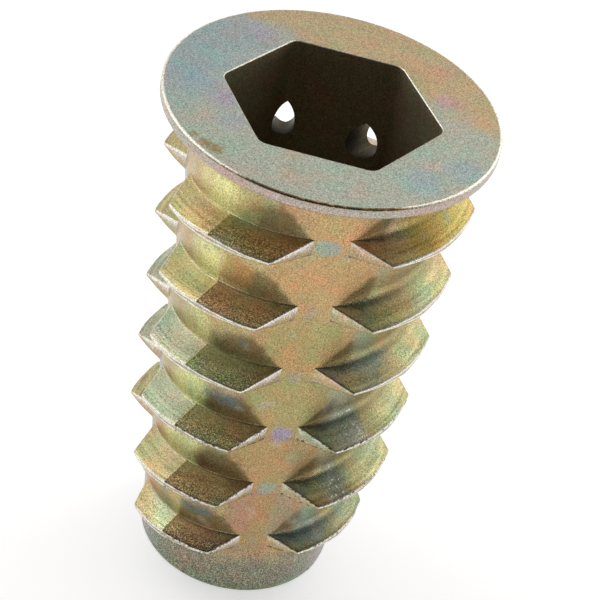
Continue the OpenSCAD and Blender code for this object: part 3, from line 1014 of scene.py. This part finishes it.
shader = add(tree, "ShaderNodeBsdfPrincipled",
             {"Metallic": 1.0, "Base Color": grained, "Roughness": gloss, "Normal": bump})
add(tree, "ShaderNodeOutputMaterial", {"Surface": shader.outputs["BSDF"]})
mesh.materials.clear()
mesh.materials.append(zinc)
print("nodes:", len(tree.nodes))

# %% [markdown]
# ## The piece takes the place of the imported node
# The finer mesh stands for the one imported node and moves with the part's only body.

# %% Ride on the frame
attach(insert, "root")
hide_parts("threaded_insert")

# %% [markdown]
# ## The floor
# The floor is white paper. More light would make it white, but it would bleach the metal too. So the camera
# and the metal see the paper with a glow that only their rays meet, and it still takes the soft shadow.

# %% Floor
FLOOR_HALF, FLOOR_GLOW = 3.0, 0.55
floor_mesh = bpy.data.meshes.new("floor")
corners = [(sx * FLOOR_HALF, sy * FLOOR_HALF, 0) for sx, sy in ((-1, -1), (1, -1), (1, 1), (-1, 1))]
floor_mesh.from_pydata(corners, [], [(0, 1, 2, 3)])
floor = bpy.data.objects.new("floor", floor_mesh)
bpy.context.scene.collection.objects.link(floor)
paper = bpy.data.materials.new("white paper floor")
paper.use_nodes = True
paper_tree = paper.node_tree
paper_shader = paper_tree.nodes["Principled BSDF"]
paper_shader.inputs["Base Color"].default_value = linear("#F2F2F2")
paper_shader.inputs["Roughness"].default_value = 0.9
paper_shader.inputs["Emission Color"].default_value = linear("#FFFFFF")
rays = add(paper_tree, "ShaderNodeLightPath").outputs
seen = rays["Is Camera Ray"]
for ray in ("Is Glossy Ray", "Is Transmission Ray"):
    seen = add(paper_tree, "ShaderNodeMath", {0: seen, 1: rays[ray]}, operation="MAXIMUM").outputs[0]
glow = add(paper_tree, "ShaderNodeMath", {0: seen, 1: FLOOR_GLOW}, operation="MULTIPLY").outputs[0]
paper_tree.links.new(glow, paper_shader.inputs["Emission Strength"])
floor_mesh.materials.append(paper)
print("floor of", 2 * FLOOR_HALF, "m")

# %% [markdown]
# ## The light
# A broad lamp on the left is the key light, which makes the left sides of the flanks bright, and a weaker one
# behind on the right fills in. Metal shows what is round it, so the studio is bright behind the insert and
# dim on the camera's side, which gives the dark line on the rim and the dark flanks in front, together with
# the painted reflection on the rim and the painted shade on the flanks. A picture of a studio could do it as
# well, but a plain slope from dim to bright is enough.

# %% Lamps and world
LAMPS = (  # name, then mm to the left, away from the camera and up, size in mm and brightness
    ("key", 180, 60, 160, 170, 1.15),
    ("fill", -130, 130, 145, 150, 0.9),
)
DIM_SIDE, BRIGHT_SIDE, SLOPE = 0.08, 0.86, 0.45
VIEW_RIGHT = Vector((0.75186, 0.63227, 0.18721))
VIEW_UP = Vector((-0.51749, 0.38978, 0.76184))
VIEW_AHEAD = Vector((-0.40867, 0.66961, -0.62019))
left = -Vector((VIEW_RIGHT.x, VIEW_RIGHT.y, 0)).normalized()
away = Vector((VIEW_AHEAD.x, VIEW_AHEAD.y, 0)).normalized()
middle = Vector((0, 0, 12))


def soft_lamp(name, position, aim, size, brightness):
    """A square lamp whose face has that brightness, where 1 is as bright as white paper."""
    data = bpy.data.lights.new(name, "AREA")
    data.shape, data.size = "SQUARE", size * MM
    data.energy = math.pi * (size * MM) ** 2 * brightness
    ob = bpy.data.objects.new(name, data)
    ob.location = Vector(position) * MM
    ob.rotation_euler = (Vector(aim) * MM - ob.location).to_track_quat("-Z", "Y").to_euler()
    bpy.context.scene.collection.objects.link(ob)


for name, to_left, to_back, up, size, brightness in LAMPS:
    soft_lamp(name, left * to_left + away * to_back + Vector((0, 0, up)), middle, size, brightness)
world = bpy.data.worlds.new("studio")
world.use_nodes = True
sky = world.node_tree
direction = add(sky, "ShaderNodeTexCoord").outputs["Generated"]
backwards = add(sky, "ShaderNodeVectorMath", {0: direction, 1: away}, operation="DOT_PRODUCT")
inputs = {"Value": backwards.outputs["Value"], "From Min": -SLOPE, "From Max": SLOPE,
          "To Min": DIM_SIDE, "To Max": BRIGHT_SIDE}
studio = add(sky, "ShaderNodeMapRange", inputs, interpolation_type="SMOOTHSTEP").outputs["Result"]
sky.links.new(studio, sky.nodes["Background"].inputs["Strength"])
sky.nodes["Background"].inputs["Color"].default_value = linear("#FFFFFF")
bpy.context.scene.world = world

# %% [markdown]
# ## The camera
# The camera has the place, the lens and the small roll that were worked out from the flange, the socket and
# the thread. Aiming it at the insert would be simpler, but it would lose the roll.

# %% Camera
SENSOR, LENS, NEAR, FAR = 36.0, 118.52, 0.001, 20
camera = bpy.data.objects.new("camera", bpy.data.cameras.new("camera"))
camera.data.sensor_width, camera.data.lens = SENSOR, LENS
camera.data.clip_start, camera.data.clip_end = NEAR, FAR
spot = Vector((36.56, -58.77, 69.20)) * MM
axes = (VIEW_RIGHT, VIEW_UP, -VIEW_AHEAD)
camera.matrix_world = Matrix([[axis[i] for axis in axes] + [spot[i]] for i in range(3)] + [[0, 0, 0, 1]])
bpy.context.scene.collection.objects.link(camera)
bpy.context.scene.camera = camera
bpy.context.scene.view_settings.view_transform = "Standard"
print("camera at", [round(v / MM, 1) for v in spot], "mm")
